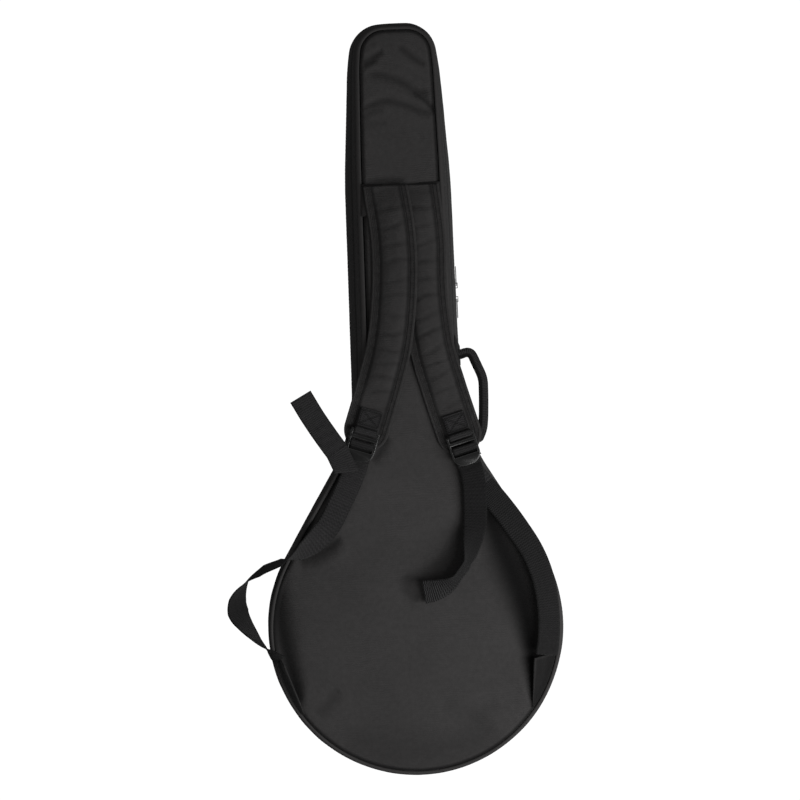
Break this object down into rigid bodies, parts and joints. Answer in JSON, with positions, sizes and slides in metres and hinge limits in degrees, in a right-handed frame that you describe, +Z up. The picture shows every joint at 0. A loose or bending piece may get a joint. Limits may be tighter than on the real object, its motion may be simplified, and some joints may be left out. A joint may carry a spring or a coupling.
{
  "type": "banjo case",
  "caption": "Soft padded gig bag for a banjo, lying on its front, with a round body, a long neck, zipped halves, backpack straps and a side carry handle.",
  "frame": {"origin": "on the floor plane, at the front panel's outer face, under the centre of the round body", "axes": "+X to the right seen from the back, +Y along the neck to the head, +Z up from the front to the back panel"},
  "size_m": [0.4469, 1.01, 0.1434],
  "materials": {
    "shell_cloth": "woven nylon, dull black",
    "foam": "closed cell padding",
    "lining_cloth": "soft brushed lining",
    "piping": "smooth black piping",
    "webbing": "ribbed black webbing",
    "plastic": "moulded black plastic",
    "dark_metal": "black enamelled metal"
  },
  "bodies": {
    "front_half": {"front_panel": "shell_cloth", "front_panel_foam": "foam", "front_panel_lining": "lining_cloth", "front_gusset": "shell_cloth", "front_gusset_foam": "foam", "front_gusset_lining": "lining_cloth", "front_piping": "piping", "front_seam_binding": "webbing", "zip_tape_front": "webbing", "zip_coil_front": "plastic", "zip_stop_front_upper": "dark_metal", "zip_stop_front_lower": "dark_metal", "spine_strip": "shell_cloth"},
    "back_half": {"back_panel": "shell_cloth", "back_panel_foam": "foam", "back_panel_lining": "lining_cloth", "back_gusset": "shell_cloth", "back_gusset_foam": "foam", "back_gusset_lining": "lining_cloth", "back_piping": "piping", "back_seam_binding": "webbing", "zip_tape_back": "webbing", "zip_coil_back": "plastic", "zip_stop_back_upper": "dark_metal", "zip_stop_back_lower": "dark_metal", "strap_yoke": "shell_cloth", "wing_tab_left": "shell_cloth", "wing_tab_right": "shell_cloth", "handle_tab_upper": "shell_cloth", "handle_tab_lower": "shell_cloth", "webbing_lower_left": "webbing", "webbing_lower_right": "webbing"},
    "strap_left": {"shoulder_strap_left": "shell_cloth", "strap_binding_left": "webbing", "strap_loop_left": "webbing"},
    "strap_right": {"shoulder_strap_right": "shell_cloth", "strap_binding_right": "webbing", "strap_loop_right": "webbing"},
    "lock_left": {"ladder_lock_left": "plastic", "webbing_turn_left": "webbing", "webbing_fold_left": "webbing"},
    "lock_right": {"ladder_lock_right": "plastic", "webbing_turn_right": "webbing"},
    "tail_left": {"webbing_tail_left": "webbing"},
    "tail_right": {"webbing_tail_right": "webbing"},
    "handle": {"carry_handle": "webbing"},
    "slider_upper": {"zip_slider_upper": "dark_metal"},
    "slider_lower": {"zip_slider_lower": "dark_metal"},
    "pull_upper": {"zip_pull_upper": "dark_metal"},
    "pull_lower": {"zip_pull_lower": "dark_metal"}
  },
  "joints": [
    {"name": "lid_open", "type": "hinge", "parent": "front_half", "child": "back_half", "pos_m": [0.1983, 0, 0.055], "axis": [0, 1, 0], "range_deg": [0, 150], "deforming": ["spine_strip"]},
    {"name": "strap_right_lift", "type": "hinge", "parent": "back_half", "child": "strap_right", "pos_m": [0.03, 0.594, 0.1118], "axis": [-1, 0, 0], "range_deg": [0, 15], "deforming": ["webbing_lower_right"]},
    {"name": "strap_left_lift", "type": "hinge", "parent": "back_half", "child": "strap_left", "pos_m": [-0.02, 0.594, 0.1118], "axis": [-1, 0, 0], "range_deg": [0, 15], "deforming": ["webbing_lower_left"]},
    {"name": "lock_left_pivot", "type": "hinge", "parent": "strap_left", "child": "lock_left", "pos_m": [-0.05586, 0.26468, 0.123], "axis": [-0.9485, 0.3169, 0], "range_deg": [0, 35], "deforming": ["webbing_lower_left"]},
    {"name": "lock_right_pivot", "type": "hinge", "parent": "strap_right", "child": "lock_right", "pos_m": [0.06886, 0.25464, 0.123], "axis": [-0.9606, -0.2779, 0], "range_deg": [0, 35], "deforming": ["webbing_lower_right"]},
    {"name": "tail_left_lift", "type": "hinge", "parent": "lock_left", "child": "tail_left", "pos_m": [-0.095, 0.241, 0.12729], "axis": [0.832, 0.5547, 0], "range_deg": [0, 60]},
    {"name": "tail_right_lift", "type": "hinge", "parent": "lock_right", "child": "tail_right", "pos_m": [0.08012, 0.21573, 0.1206], "axis": [-0.9606, -0.2779, 0], "range_deg": [0, 60]},
    {"name": "handle_swing", "type": "hinge", "parent": "back_half", "child": "handle", "pos_m": [0.08629, 0.30586, 0.08195], "axis": [0.1364, -0.9907, 0], "range_deg": [0, 50]},
    {"name": "zip_upper_slide", "type": "slide", "parent": "front_half", "child": "slider_upper", "axis": [-0.007, 1, 0], "range_m": [0, 0.1]},
    {"name": "zip_lower_slide", "type": "slide", "parent": "front_half", "child": "slider_lower", "axis": [-0.007, 1, 0], "range_m": [-0.1, 0]},
    {"name": "pull_upper_swing", "type": "hinge", "parent": "slider_upper", "child": "pull_upper", "pos_m": [0.07416, 0.45779, 0.055], "axis": [0, 0, -1], "range_deg": [0, 150]},
    {"name": "pull_lower_swing", "type": "hinge", "parent": "slider_lower", "child": "pull_lower", "pos_m": [0.07429, 0.43919, 0.055], "axis": [0, 0, 1], "range_deg": [0, 150]}
  ],
  "couplings": [
    {"joint": "strap_left_lift", "follows": "strap_right_lift", "ratio": 1}
  ]
}
